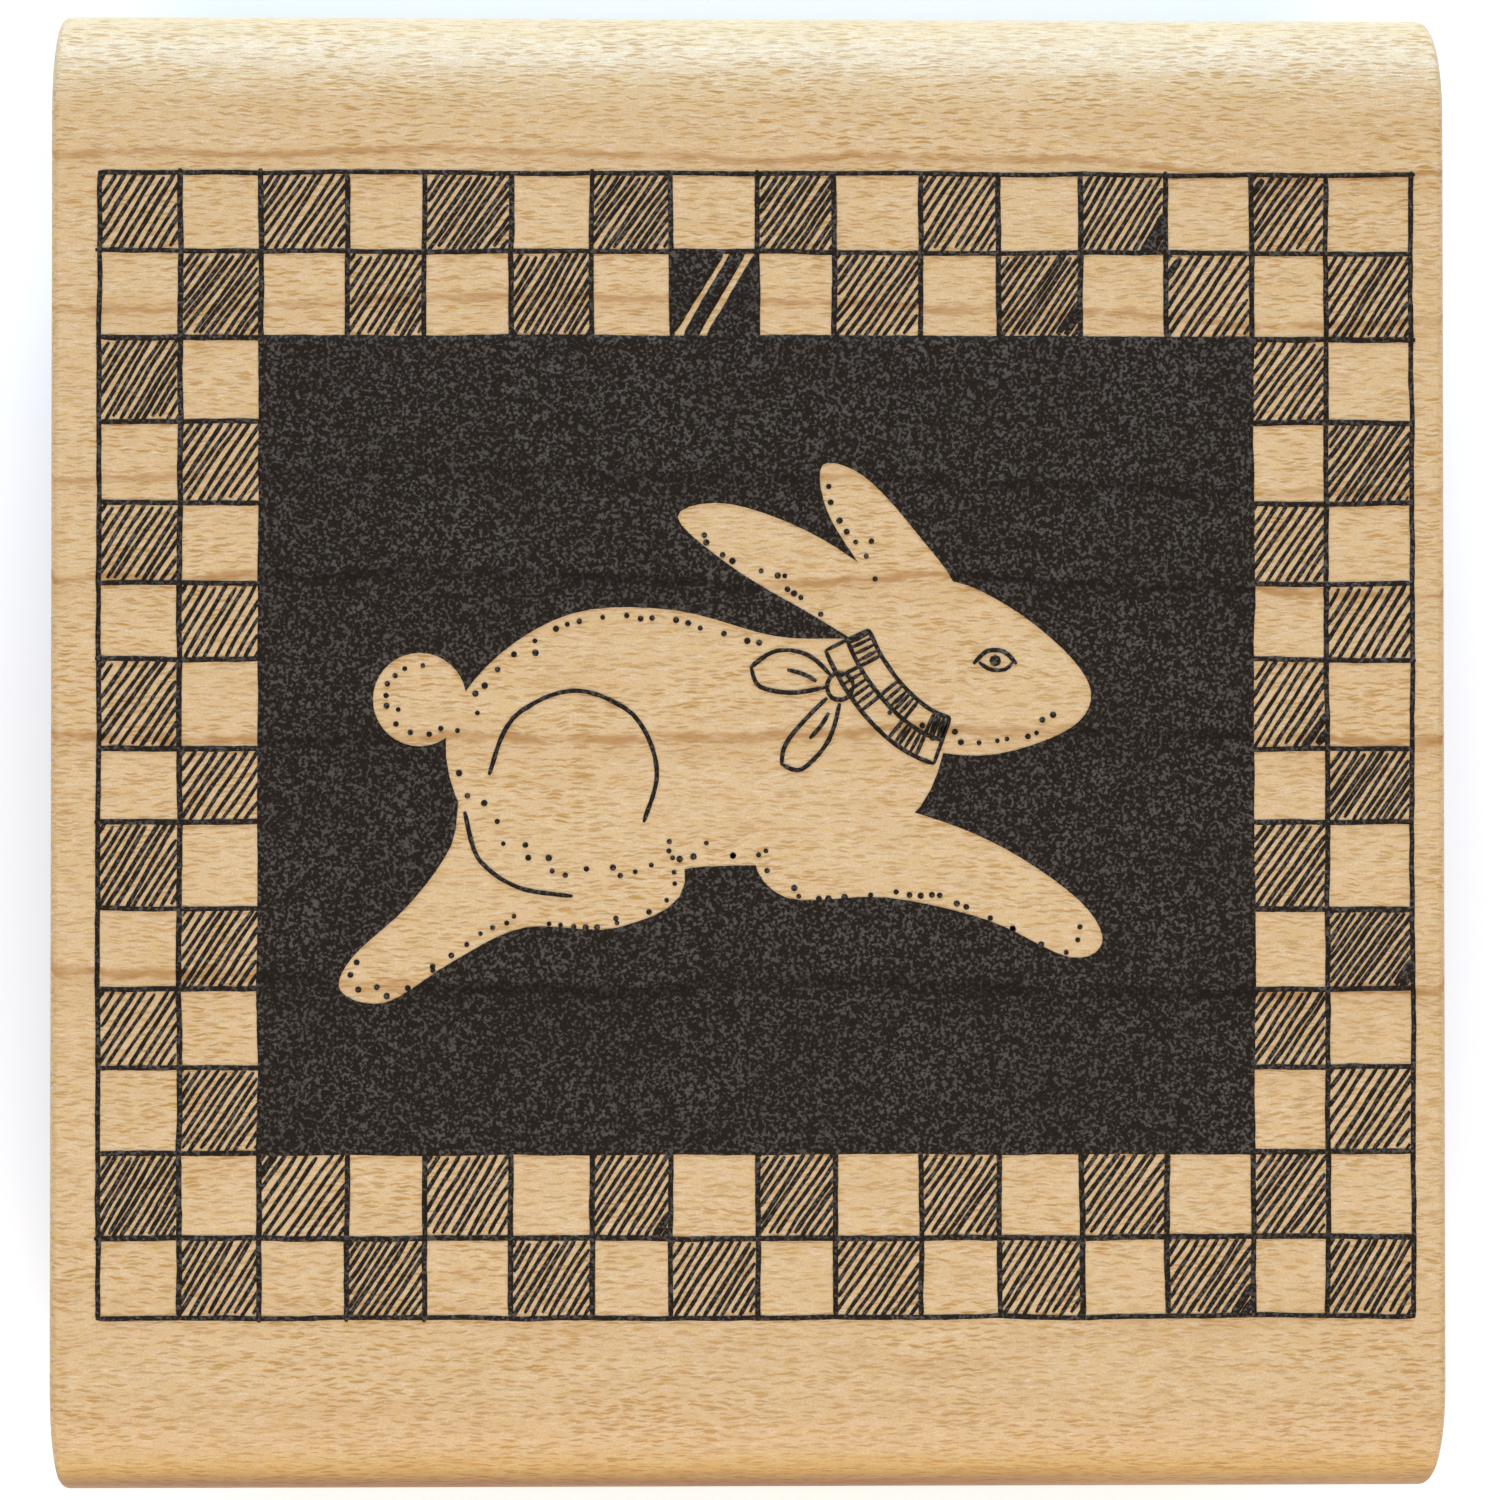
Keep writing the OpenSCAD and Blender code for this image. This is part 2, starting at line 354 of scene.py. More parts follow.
def year_lines(tree, where):
    """How dark the wood is with the lines at the end of each year's growth, from 0 to 1."""
    drift = wander(tree, where, (50, 40, 40), seed=3, detail=1, reach=3.4)
    sway = wander(tree, where, (8, 12, 12), seed=5, detail=2, reach=1.0)
    jag = wander(tree, where, (0.9, 0.6, 2), seed=9, detail=1, reach=0.36)
    from_pith = add(tree, "ShaderNodeMapping", {
        "Vector": where, "Location": (0, -PITH_Y, PITH_DEPTH - BLOCK_HIGH.z / MM), "Scale": (0, 1, 1)})
    radius = length_of(tree, from_pith.outputs[0])
    for shift in (drift, sway, jag):
        radius = math_node(tree, "ADD", radius, shift)
    lines = None
    for y, dark in YEAR_LINES:
        beyond = math_node(tree, "SUBTRACT", radius, math.hypot(y - PITH_Y, PITH_DEPTH))
        sharp = smooth_step(tree, math_node(tree, "ABSOLUTE", beyond), 0.04, 0.26, dark, 0.0)
        before = smooth_step(tree, beyond, -1.3, 0.0, 0.0, 0.24 * dark)
        before = math_node(tree, "MULTIPLY", before, math_node(tree, "LESS_THAN", beyond, 0.05))
        line = math_node(tree, "MAXIMUM", sharp, before)
        lines = line if lines is None else math_node(tree, "MAXIMUM", lines, line)
    broken = noise_at(tree, where, (2.6, 2.5, 4), 12, detail=2)
    return math_node(tree, "MULTIPLY", lines, smooth_step(tree, broken, 0.36, 0.58, 0.45, 1.0))


def flecks(tree, where, spacing, half, seed):
    """Spindle-shaped flecks that lie along the grain, from 0 to 1. spacing and half are in mm."""
    wave = wander(tree, where, (1.1, 2.0, 3), seed=seed + 20, detail=2, reach=0.5)
    wave = add(tree, "ShaderNodeCombineXYZ", {"Y": wave}).outputs[0]
    scaled = add(tree, "ShaderNodeMapping", {
        "Vector": vector_node(tree, "ADD", where, wave),
        "Location": (seed * 7.1, seed * 3.3, seed * 5.7),
        "Scale": tuple(1 / s for s in spacing)}).outputs[0]
    cell = add(tree, "ShaderNodeTexVoronoi", {"Vector": scaled, "Scale": 1.0, "Randomness": 1.0})
    offset = vector_node(tree, "SUBTRACT", scaled, cell.outputs["Position"])
    shape = vector_node(tree, "MULTIPLY", offset, tuple(s / h for s, h in zip(spacing, half)))
    fleck = smooth_step(tree, length_of(tree, shape), 0.45, 1.0, 1.0, 0.0)
    strength = add(tree, "ShaderNodeSeparateColor", {0: cell.outputs["Color"]}).outputs[0]
    return math_node(tree, "MULTIPLY", fleck, smooth_step(tree, strength, 0.0, 0.7, 0.4, 1.0))


def maple_colour(tree, where, colours):
    """The colour of the maple and the height of its grain."""
    tone = noise_at(tree, where, (30, 10, 14), 31, detail=3)
    cloud = noise_at(tree, where, (2.2, 0.8, 2), 37, detail=3, roughness=0.6)
    gold = noise_at(tree, where, (1.2, 0.45, 1.2), 38, detail=2)
    base = mix_colour(tree, smooth_step(tree, tone, 0.3, 0.7, 0.0, 0.5), colours.maple,
                      [c * s for c, s in zip(colours.maple, (0.96, 0.92, 0.86))])
    base = mix_colour(tree, smooth_step(tree, cloud, 0.35, 0.7, 0.0, 0.6), base,
                      [min(1, c * s) for c, s in zip(colours.maple, (1.08, 1.12, 1.20))])
    base = mix_colour(tree, smooth_step(tree, gold, 0.48, 0.68, 0.0, 0.4), base,
                      [c * s for c, s in zip(colours.maple, (1.02, 0.93, 0.55))])
    fine = flecks(tree, where, (0.9, 0.22, 0.2), (0.52, 0.080, 0.11), 1)
    bold = flecks(tree, where, (1.4, 0.38, 0.3), (0.62, 0.095, 0.16), 2)
    pale = flecks(tree, where, (1.0, 0.28, 0.25), (0.56, 0.10, 0.13), 4)
    pores = noise_at(tree, where, (0.12, 0.08, 0.12), 45, detail=1)
    patches = smooth_step(tree, noise_at(tree, where, (7, 4, 6), 41, detail=2), 0.3, 0.7, 0.55, 1.0)
    base = mix_colour(tree, math_node(tree, "MULTIPLY", pale, 0.5), base,
                      [min(1, c * s) for c, s in zip(colours.maple, (1.18, 1.28, 1.60))])
    dark = math_node(tree, "MAXIMUM", math_node(tree, "MULTIPLY", fine, 0.8),
                     math_node(tree, "MULTIPLY", bold, 0.95))
    facing = add(tree, "ShaderNodeSeparateXYZ", {
        0: tree.nodes.new("ShaderNodeTexCoord").outputs["Normal"]}).outputs["Z"]
    rays = smooth_step(tree, facing, 0.05, 0.5, 0.3, 1.0)
    dark = math_node(tree, "MULTIPLY", dark, rays)
    base = mix_colour(tree, math_node(tree, "MULTIPLY", dark, patches), base, colours.ray)
    streak = noise_at(tree, where, (9, 1.6, 0.16), 47, detail=3, roughness=0.6)
    streak = math_node(tree, "MULTIPLY", smooth_step(tree, streak, 0.45, 0.75, 0.0, 0.6),
                       math_node(tree, "SUBTRACT", 1.3, rays))
    base = mix_colour(tree, streak, base, colours.ray)
    base = mix_colour(tree, smooth_step(tree, pores, 0.3, 0.75, 0.0, 0.36), base, colours.ray)
    lines = math_node(tree, "MULTIPLY", year_lines(tree, where), 0.85)
    base = mix_colour(tree, lines, base, colours.ring)
    height = math_node(tree, "SUBTRACT", math_node(tree, "MULTIPLY", pale, 0.5), dark)
    return base, height


def maple_finish(colours):
    """Sanded and waxed maple, with painted shade (darker and more golden) low on the near roundover that
    turns away from the lights, and darker on the saw-cut ends.
    """
    material, tree, shader, where = new_material("maple")
    colour, height = maple_colour(tree, where, colours)
    across = add(tree, "ShaderNodeSeparateXYZ", {0: where})
    drop = math_node(tree, "SUBTRACT", BLOCK_HIGH.z / MM, across.outputs["Z"])
    # Painted shade: the near roundover darkened from 1.6 to 7.4 mm below the top, where it turns away
    # from the lights
    painted_shade = math_node(tree, "MULTIPLY", smooth_step(tree, drop, 1.6, 3.8),
                          smooth_step(tree, drop, 4.4, 7.4, 1.0, 0.0))
    # The near side, which faces away from the lights and carries the painted shade
    near = smooth_step(tree, across.outputs["Y"], -30, -10, 1.0, 0.0)
    uneven = smooth_step(tree, noise_at(tree, where, (30, 8, 8), 33, detail=2), 0.3, 0.6, 0.6, 1.0)
    end = math_node(tree, "GREATER_THAN", math_node(tree, "ABSOLUTE", across.outputs["X"]),
                    BLOCK_HIGH.x / MM - 0.02)
    near = math_node(tree, "MULTIPLY", near, math_node(tree, "SUBTRACT", 1.0, end))
    # Painted warm shade: the near roundover tinted golden from 0.8 to 8.4 mm below the top, where it
    # turns away from the lights
    painted_warm_shade = math_node(tree, "MULTIPLY", near, smooth_step(tree, drop, 0.8, 2.4))
    painted_warm_shade = math_node(tree, "MULTIPLY", painted_warm_shade, smooth_step(tree, drop, 3.6, 8.4, 1.0, 0.0))
    colour = mix_colour(tree, painted_warm_shade, colour, (0.92, 0.82, 0.40), blend="MULTIPLY")
    # The painted shade kept to the near side and broken up a little by noise, then multiplied into the
    # colour
    painted_shade = math_node(tree, "MULTIPLY", math_node(tree, "MULTIPLY", painted_shade, near), uneven)
    colour = mix_colour(tree, painted_shade, colour, (0.45, 0.31, 0.16), blend="MULTIPLY")
    saw = noise_at(tree, where, (40, 22, 0.22), 51, detail=2)
    cut = mix_colour(tree, smooth_step(tree, saw, 0.35, 0.65, 0.2, 0.5), colour,
                     [c * s for c, s in zip(colours.ray, (0.95, 0.95, 0.9))])
    tree.links.new(mix_colour(tree, end, colour, cut), shader.inputs["Base Color"])
    rough = smooth_step(tree, height, -0.6, 0.4, 0.66, 0.54)
    # The painted shade zone is also made rougher
    rough = math_node(tree, "MULTIPLY_ADD", painted_shade, 0.2, rough)
    tree.links.new(math_node(tree, "MULTIPLY_ADD", end, 0.2, rough), shader.inputs["Roughness"])
    shader.inputs["Coat Weight"].default_value = 0.32
    shader.inputs["Coat Roughness"].default_value = 0.36
    tooth = math_node(tree, "MULTIPLY", math_node(tree, "MULTIPLY", saw, end), 3.0)
    bump(tree, shader, math_node(tree, "ADD", height, tooth), 0.03)
    return material


def ink_finish(colours):
    """Dark ink that took unevenly on the wood, so that it is speckled and the grain shows in it."""
    material, tree, shader, where = new_material("ink")
    worms = noise_at(tree, where, (0.17, 0.17, 0.17), 61, detail=0.0, distortion=0.5)
    where_thin = smooth_step(tree, noise_at(tree, where, (4, 4, 4), 67, detail=2), 0.3, 0.7, 0.75, 1.0)
    thin = math_node(tree, "MULTIPLY", smooth_step(tree, worms, 0.46, 0.74), where_thin)
    colour = mix_colour(tree, thin, colours.ink, colours.thin_ink)
    lines = year_lines(tree, where)
    colour = mix_colour(tree, math_node(tree, "MULTIPLY", lines, 0.7), colour,
                        [c * s for c, s in zip(colours.ink, (0.6, 0.45, 0.3))])
    tree.links.new(colour, shader.inputs["Base Color"])
    tree.links.new(smooth_step(tree, thin, 0.0, 0.6, 0.80, 0.92), shader.inputs["Roughness"])
    shader.inputs["Specular IOR Level"].default_value = 0.12
    bump(tree, shader, worms, 0.012)
    return material


def foam_finish(colours):
    """Closed-cell foam, whose cut cells show all over it."""
    material, tree, shader, where = new_material("foam")
    cells = add(tree, "ShaderNodeTexVoronoi", {"Vector": where, "Scale": 4.2, "Randomness": 1.0})
    cells.feature = "DISTANCE_TO_EDGE"
    walls = smooth_step(tree, cells.outputs["Distance"], 0.0, 0.22, 1.0, 0.0)
    tone = noise_at(tree, where, (2.2, 2.2, 1.2), 71, detail=3)
    colour = mix_colour(tree, math_node(tree, "MULTIPLY", walls, 0.5), colours.foam,
                        [min(1, c * 2.4) for c in colours.foam])
    colour = mix_colour(tree, smooth_step(tree, tone, 0.35, 0.7, 0.0, 0.35), colour,
                        [c * 0.6 for c in colours.foam])
    tree.links.new(colour, shader.inputs["Base Color"])
    tree.links.new(smooth_step(tree, walls, 0.0, 1.0, 0.95, 0.75), shader.inputs["Roughness"])
    bump(tree, shader, walls, 0.09)
    return material


def film_finish(colours):
    """Milky double-sided film, with specks of dust along its sticky cut edge."""
    material, tree, shader, where = new_material("film")
    dust = noise_at(tree, where, (0.5, 0.5, 0.2), 81, detail=3, roughness=0.7)
    colour = mix_colour(tree, smooth_step(tree, dust, 0.5, 0.72, 0.0, 0.55), colours.film,
                        [c * 0.45 for c in colours.film])
    tree.links.new(colour, shader.inputs["Base Color"])
    tree.links.new(smooth_step(tree, dust, 0.4, 0.7, 0.25, 0.6), shader.inputs["Roughness"])
    return material


def rubber_finish(colours):
    """Moulded red rubber with a dry bloom in pale, dusty patches."""
    material, tree, shader, where = new_material("die_rubber")
    mottle = noise_at(tree, where, (6, 6, 3), 91, detail=4, roughness=0.55)
    grain = noise_at(tree, where, (0.16, 0.16, 0.16), 92, detail=2)
    bloom = noise_at(tree, where, (1.6, 1.6, 1.6), 93, detail=5, roughness=0.65)
    colour = mix_colour(tree, smooth_step(tree, mottle, 0.3, 0.7, 0.0, 0.5), colours.rubber,
                        [c * 0.78 for c in colours.rubber])
    colour = mix_colour(tree, smooth_step(tree, bloom, 0.48, 0.74, 0.0, 0.35), colour,
                        [min(1, 0.5 * c + 0.22) for c in colours.rubber])
    tree.links.new(colour, shader.inputs["Base Color"])
    tree.links.new(smooth_step(tree, bloom, 0.4, 0.7, 0.52, 0.78), shader.inputs["Roughness"])
    bump(tree, shader, math_node(tree, "ADD", grain, bloom), 0.02)
    return material


def floor_finish(colours):
    """A plain pale sweep, very slightly uneven."""
    material, tree, shader, where = new_material("floor")
    tone = noise_at(tree, where, (160, 160, 160), 99, detail=2)
    tree.links.new(mix_colour(tree, smooth_step(tree, tone, 0.3, 0.7, 0.0, 0.2), colours.floor,
                              [c * 0.97 for c in colours.floor]), shader.inputs["Base Color"])
    shader.inputs["Roughness"].default_value = 0.9
    return material


# Meshes


def mesh_object(name, mesh, material=None):
    """Links a new object for the mesh."""
    piece = bpy.data.objects.new(name, mesh)
    bpy.context.scene.collection.objects.link(piece)
    if material:
        mesh.materials.clear()
        mesh.materials.append(material)
    return piece


def settle(piece, name):
    """The piece with its modifiers worked into a plain mesh, under that name."""
    evaluated = piece.evaluated_get(bpy.context.evaluated_depsgraph_get())
    mesh = bpy.data.meshes.new_from_object(evaluated)
    material = mesh.materials[0] if mesh.materials else None
    bpy.data.objects.remove(piece)
    settled = bpy.data.objects.new(name, mesh)
    mesh.name = name
    bpy.context.scene.collection.objects.link(settled)
    if not len(mesh.polygons):
        raise RuntimeError(f"{name} came out empty")
    if material is None:
        raise RuntimeError(f"{name} has no material")
    return settled


def smooth_outline(points, steps=5):
    """A smooth closed outline through the points."""
    count = len(points)
    return [smooth_point([points[(i + k) % count] for k in (-1, 0, 1, 2)], step / steps)
            for i in range(count) for step in range(steps)]


def smooth_line(points, steps=5):
    """A smooth open line through the points."""
    ends = [points[0], *points, points[-1]]
    line = [smooth_point(ends[i:i + 4], step / steps)
            for i in range(len(points) - 1) for step in range(steps)]
    return [*line, tuple(points[-1])]


def smooth_point(four, t):
    """The point that is t of the way from the second of four points to the third."""
    a, b, c, d = four
    return tuple(0.5 * (2 * b[i] + (c[i] - a[i]) * t + (2 * a[i] - 5 * b[i] + 4 * c[i] - d[i]) * t * t
                        + (3 * b[i] - a[i] - 3 * c[i] + d[i]) * t ** 3) for i in (0, 1))


def arc(centre, radius, start, end, step=5):
    """Points along an arc, from one angle in degrees to another."""
    count = max(3, round(abs(end - start) / step))
    turns = [math.radians(start + (end - start) * k / count) for k in range(count + 1)]
    return [(centre[0] + radius * math.cos(a), centre[1] + radius * math.sin(a)) for a in turns]


def block_section(sizes, inset):
    """The block's outline in Y and Z, drawn in by inset."""
    half = BLOCK_HIGH.y
    low, high = BLOCK_LOW.z, BLOCK_HIGH.z
    depth, ease, base, top = sizes.groove_depth, sizes.groove_ease, sizes.base_ease, sizes.roundover
    radius = (sizes.groove_height ** 2 / 4 + depth ** 2) / (2 * depth)
    groove = (half + radius - depth, high - top - sizes.shoulder - sizes.groove_height / 2)
    reach = groove[0] - (half - ease)
    rise = math.sqrt((radius + ease) ** 2 - reach ** 2)
    turn = math.degrees(math.atan2(rise, reach))
    side = [
        *arc((half - base, low + base), base - inset, -90, 0, step=15),
        *arc((half - ease, groove[1] - rise), ease - inset, 0, turn, step=12),
        *arc(groove, radius + inset, 180 + turn, 180 - turn)[1:-1],
        *arc((half - ease, groove[1] + rise), ease - inset, -turn, 0, step=12),
        *arc((half - top, high - top), top - inset, 0, 90, step=3),
    ]
    return side + [(-y, z) for y, z in reversed(side)]


def block_mesh(sizes):
    """The moulded stick, cut to length, with the edges round its saw cuts eased."""
    ease, half = sizes.end_ease, BLOCK_HIGH.x
    turns = [math.radians(90 * k / 4) for k in range(5)]
    rounded = [(half - ease + ease * math.sin(a), ease * (1 - math.cos(a))) for a in turns]
    stations = [(-x, inset) for x, inset in reversed(rounded)] + rounded
    bm = bmesh.new()
    rings = [[bm.verts.new((x, y, z)) for y, z in block_section(sizes, inset)] for x, inset in stations]
    for ring, following in zip(rings, rings[1:]):
        for i, vert in enumerate(ring):
            after = (i + 1) % len(ring)
            bm.faces.new((vert, following[i], following[after], ring[after]))
    ends = [bm.faces.new(rings[0]), bm.faces.new(list(reversed(rings[-1])))]
    bmesh.ops.recalc_face_normals(bm, faces=bm.faces)
    for face in bm.faces:
        face.smooth = face not in ends
    mesh = bpy.data.meshes.new("wood_block")
    bm.to_mesh(mesh)
    bm.free()
    return mesh


def rounded_outline(half_x, half_y, radius, step=15):
    """A rectangle about the middle with rounded corners."""
    x, y = half_x - radius, half_y - radius
    corners = [((x, y), 0), ((-x, y), 90), ((-x, -y), 180), ((x, -y), 270)]
    return [p for centre, start in corners for p in arc(centre, radius, start, start + 90, step)]


def prism(bm, outline, low, high):
    """Adds a closed upright prism with that outline."""
    bottom = [bm.verts.new((x, y, low)) for x, y in outline]
    top = [bm.verts.new((x, y, high)) for x, y in outline]
    bm.faces.new(list(reversed(bottom)))
    bm.faces.new(top)
    for i in range(len(outline)):
        after = (i + 1) % len(outline)
        bm.faces.new((bottom[i], bottom[after], top[after], top[i]))


def mesh_from(bm, name):
    """The bmesh as a new mesh, with its faces outwards."""
    bmesh.ops.recalc_face_normals(bm, faces=bm.faces)
    mesh = bpy.data.meshes.new(name)
    bm.to_mesh(mesh)
    bm.free()
    return mesh


def sheet_mesh():
    """The rubber sheet behind the raised picture, divided so that no face has many holes in it."""
    bm = bmesh.new()
    prism(bm, rounded_outline(DIE_HIGH.x, DIE_HIGH.y, TRIM_RADIUS), DIE_LOW.z + RELIEF, DIE_HIGH.z)
    for way, half in ((Vector((1, 0, 0)), DIE_HIGH.x), (Vector((0, 1, 0)), DIE_HIGH.y)):
        count = math.ceil(2 * half / SHEET_SQUARE)
        for k in range(1, count):
            place = way * half * (2 * k / count - 1)
            bmesh.ops.bisect_plane(bm, geom=[*bm.verts, *bm.edges, *bm.faces], dist=1e-7,
                                   plane_co=place, plane_no=way)
    return mesh_from(bm, "die_sheet")


def foam_mesh():
    """The cushion: its sides drawn in between the two films, as cut foam's are."""
    outline = rounded_outline(CUSHION_HIGH.x, CUSHION_HIGH.y, TRIM_RADIUS, step=10)
    stray = random.Random(5)
    bm = bmesh.new()
    rings = []
    for level in range(FOAM_RINGS + 1):
        share = level / FOAM_RINGS
        drawn_in = FOAM_HOLLOW * math.sin(math.pi * share) ** 0.6
        z = CUSHION_LOW.z + (CUSHION_HIGH.z - CUSHION_LOW.z) * share
        ring = []
        for point in long_sides(outline, FOAM_STEP):
            away = Vector(point)
            inward = -Vector((away.x / CUSHION_HIGH.x, away.y / CUSHION_HIGH.y)).normalized()
            uneven = stray.uniform(0, FOAM_UNEVEN) if 0 < level < FOAM_RINGS else 0
            ring.append(bm.verts.new((*(away + inward * (drawn_in + uneven)), z)))
        rings.append(ring)
    for ring, following in zip(rings, rings[1:]):
        for i, vert in enumerate(ring):
            after = (i + 1) % len(ring)
            bm.faces.new((vert, ring[after], following[after], following[i])).smooth = True
    bm.faces.new(list(reversed(rings[0])))
    bm.faces.new(rings[-1])
    return mesh_from(bm, "foam_pad")


def long_sides(outline, step):
    """The outline with its long straight runs divided."""
    points = []
    for a, b in zip(outline, [*outline[1:], outline[0]]):
        count = max(1, round((Vector(b) - Vector(a)).length / step))
        points += [tuple(Vector(a).lerp(Vector(b), k / count)) for k in range(count)]
    return points


# The picture


class Drawing:
    """The picture as a hand drew it: pen lines, dots, a dark panel and the animal left out of it.

    Each pen line keeps its width, and a layer in which nothing crosses it.
    """

    LAYERS = 6
    DOWN, ACROSS, EVEN, ODD, MARKS, SIDE_MARKS = range(LAYERS)

    def __init__(self, sizes):
        self.sizes = sizes
        self.random = random.Random(sizes.seed)
        self.lines = []
        self.dots = []
        self.width, self.depth = PICTURE
        self.columns = self.marks(sizes.columns, self.width)
        self.rows = self.marks(sizes.rows, self.depth)
        border = sizes.border
        self.panel = (self.columns[border], self.rows[border], self.columns[-1 - border],
                      self.rows[-1 - border])
        panel_x = self.width * (1 - 2 * border / sizes.columns) - 2 * sizes.rabbit_margin
        panel_y = self.depth * (1 - 2 * border / sizes.rows) - 2 * sizes.rabbit_margin
        self.scale = min(panel_x / RABBIT_WIDTH, panel_y / RABBIT_HEIGHT)
        self.rule_border()
        self.hatch_border()
        self.draw_rabbit()

    def marks(self, count, length):
        """Where the border's lines stand along a side, the inner ones a little out of place."""
        places = [length * (k / count - 0.5) for k in range(count + 1)]
        return [p + (self.random.uniform(-LINE_STRAY, LINE_STRAY) if 0 < k < count else 0)
                for k, p in enumerate(places)]

    def line(self, points, width, layer):
        """Keeps one pen line."""
        self.lines.append((points, width, layer))

    def rule_border(self):
        """Rules the border's lines, which stop at the dark panel."""
        sizes, stray = self.sizes, self.random
        for along, others, layer, count in ((self.columns, self.rows, self.DOWN, sizes.columns),
                                            (self.rows, self.columns, self.ACROSS, sizes.rows)):
            last = len(others) - 1
            for k, place in enumerate(along):
                whole = k <= sizes.border or k >= count - sizes.border
                spans = [(0, last)] if whole else [(0, sizes.border), (last - sizes.border, last)]
                width = sizes.line * (0.96 if k in (0, count) else 1.0)
                for start, end in spans:
                    over = [stray.choice((0.1, 0.2, 0.3, 0.7)) * sizes.line for _ in (0, 1)]
                    run = [others[start] - over[0], *others[start + 1:end], others[end] + over[1]]
                    points = [(place + stray.uniform(-0.05, 0.05) * MM, other) for other in run]
                    if layer == self.ACROSS:
                        points = [(y, x) for x, y in points]
                    self.line(points, width * stray.uniform(0.92, 1.08), layer)

    def hatch_border(self):
        """Hatches every second square of the border."""
        sizes = self.sizes
        rows = list(reversed(self.rows))
        for r in range(sizes.rows):
            for c in range(sizes.columns):
                beside = min(c, sizes.columns - 1 - c) < sizes.border
                above = min(r, sizes.rows - 1 - r) < sizes.border
                if (beside or above) and (c + r) % 2 == 0:
                    self.hatch((self.columns[c], rows[r + 1], self.columns[c + 1], rows[r]), r, c)

    def hatch(self, square, row, column):
        """Hatches one square with sloping strokes, some crowded and some too long or short."""
        sizes, stray = self.sizes, self.random
        low_x, low_y, high_x, high_y = square
        middle = Vector(((low_x + high_x) / 2, (low_y + high_y) / 2))
        heavy = row == HEAVY_ROW and column == sizes.columns // 2 - 1
        crowd = 0.82 if heavy else stray.choice((0.88, 0.94, 1.0, 1.0, 1.05, 1.15))
        blot = stray.choice((*[None] * 9, 0.1, 0.84, 0.9))
        slope = sizes.slope + stray.uniform(-0.05, 0.05)
        reach = (high_x - low_x) * math.sin(slope) / 2 + (high_y - low_y) * math.cos(slope) / 2
        offset = -reach + stray.uniform(0.5, 0.9) * sizes.pitch
        count = 0
        while offset < reach - 0.3 * sizes.pitch:
            share = (offset + reach) / (2 * reach)
            tilt = slope + stray.uniform(-0.03, 0.03)
            run = Vector((math.cos(tilt), math.sin(tilt)))
            at = middle + offset * Vector((math.sin(slope), -math.cos(slope)))
            first = max((low_x - at.x) / run.x, (low_y - at.y) / run.y)
            last = min((high_x - at.x) / run.x, (high_y - at.y) / run.y)
            if not heavy:
                first += stray.choice((-0.05, 0, 0, 0.05, 0.1, 0.3)) * MM
                last -= stray.choice((-0.05, 0, 0, 0.05, 0.1, 0.3)) * MM
            width = sizes.stroke * stray.uniform(0.9, 1.15)
            if heavy:
                width *= 0 if count in HEAVY_GAPS else 2.1
            elif blot is not None and abs(share - blot) < 0.08:
                width *= 1.9
            if last - first > 0.4 * MM and width:
                bow = stray.uniform(-0.03, 0.03) * MM
                side = Vector((-run.y, run.x))
                points = [at + run * (first + (last - first) * k / 4) + side * bow * (k % 4 > 0)
                          for k in range(5)]
                self.line([tuple(p) for p in points], width, (self.EVEN, self.ODD)[count % 2])
            count += 1
            offset += sizes.pitch * crowd * stray.uniform(0.88, 1.14)

    def place(self, point):
        """A point of the rabbit's own outlines in the picture, in metres."""
        return (point[0] * self.scale - self.sizes.rabbit_left, point[1] * self.scale)

    def mark(self, points, width, layer):
        """Keeps a pen line that is given in the rabbit's own outlines."""
        self.line([self.place(p) for p in points], width, layer)

    def draw_rabbit(self):
        """Draws what is inked inside the rabbit."""
        stroke = self.sizes.stroke
        for points in INNER_LINES:
            self.mark(smooth_line(points), stroke * MARK_WIDTH, self.MARKS)
        self.mark(smooth_line(LOWER_LID), stroke, self.SIDE_MARKS)
        self.dots.append((*self.place(PUPIL), PUPIL_RADIUS * MM))
        self.ribbon(*NECK_BAND)
        for lines, layer in ((BOW_OUTER, self.MARKS), (BOW_INNER, self.SIDE_MARKS)):
            for points in lines:
                self.mark(smooth_line(points), stroke * MARK_WIDTH, layer)
        self.mark(arc(*KNOT, 0, 350, step=30), stroke * MARK_WIDTH, self.EVEN)
        for name, low, high in STIPPLED:
            self.stipple(smooth_outline(RABBIT[name], 8), low, high)
        self.stipple(arc(TAIL, TAIL_RADIUS, 60, 330, step=10), 0.05, 0.95)

    def ribbon(self, centre, width, squares):
        """Draws a checked ribbon along a centre line: two squares across, every second one hatched."""
        sizes, stray = self.sizes, self.random
        line = [Vector(p) for p in smooth_line(centre, 6)]
        ways = [(b - a).normalized() for a, b in zip(line, line[1:])]
        ways.append(ways[-1])
        sides = [Vector((-w.y, w.x)) for w in ways]

        def at(share, across):
            """The point that far along the ribbon and that far across it, from -1 to 1."""
            place = share * (len(line) - 1)
            k = min(int(place), len(line) - 2)
            point = line[k].lerp(line[k + 1], place - k)
            return self.place(point + sides[k] * across * width / 2)

        for across in (-1, 0, 1):
            self.line([at(k / 12, across) for k in range(13)], sizes.stroke * MARK_WIDTH, self.MARKS)
        for square in range(squares + 1):
            share = min(square / squares, 0.999)
            self.line([at(share, -1), at(share, 0), at(share, 1)], sizes.stroke, self.SIDE_MARKS)
        for square in range(squares):
            low, high = (-1, 0) if square % 2 else (0, 1)
            for k in range(1, 5):
                share = (square + k / 5 + stray.uniform(-0.04, 0.04)) / squares
                stroke = [at(share, low + 0.06), at(share, high - 0.06)]
                self.line(stroke, sizes.stroke, self.SIDE_MARKS)

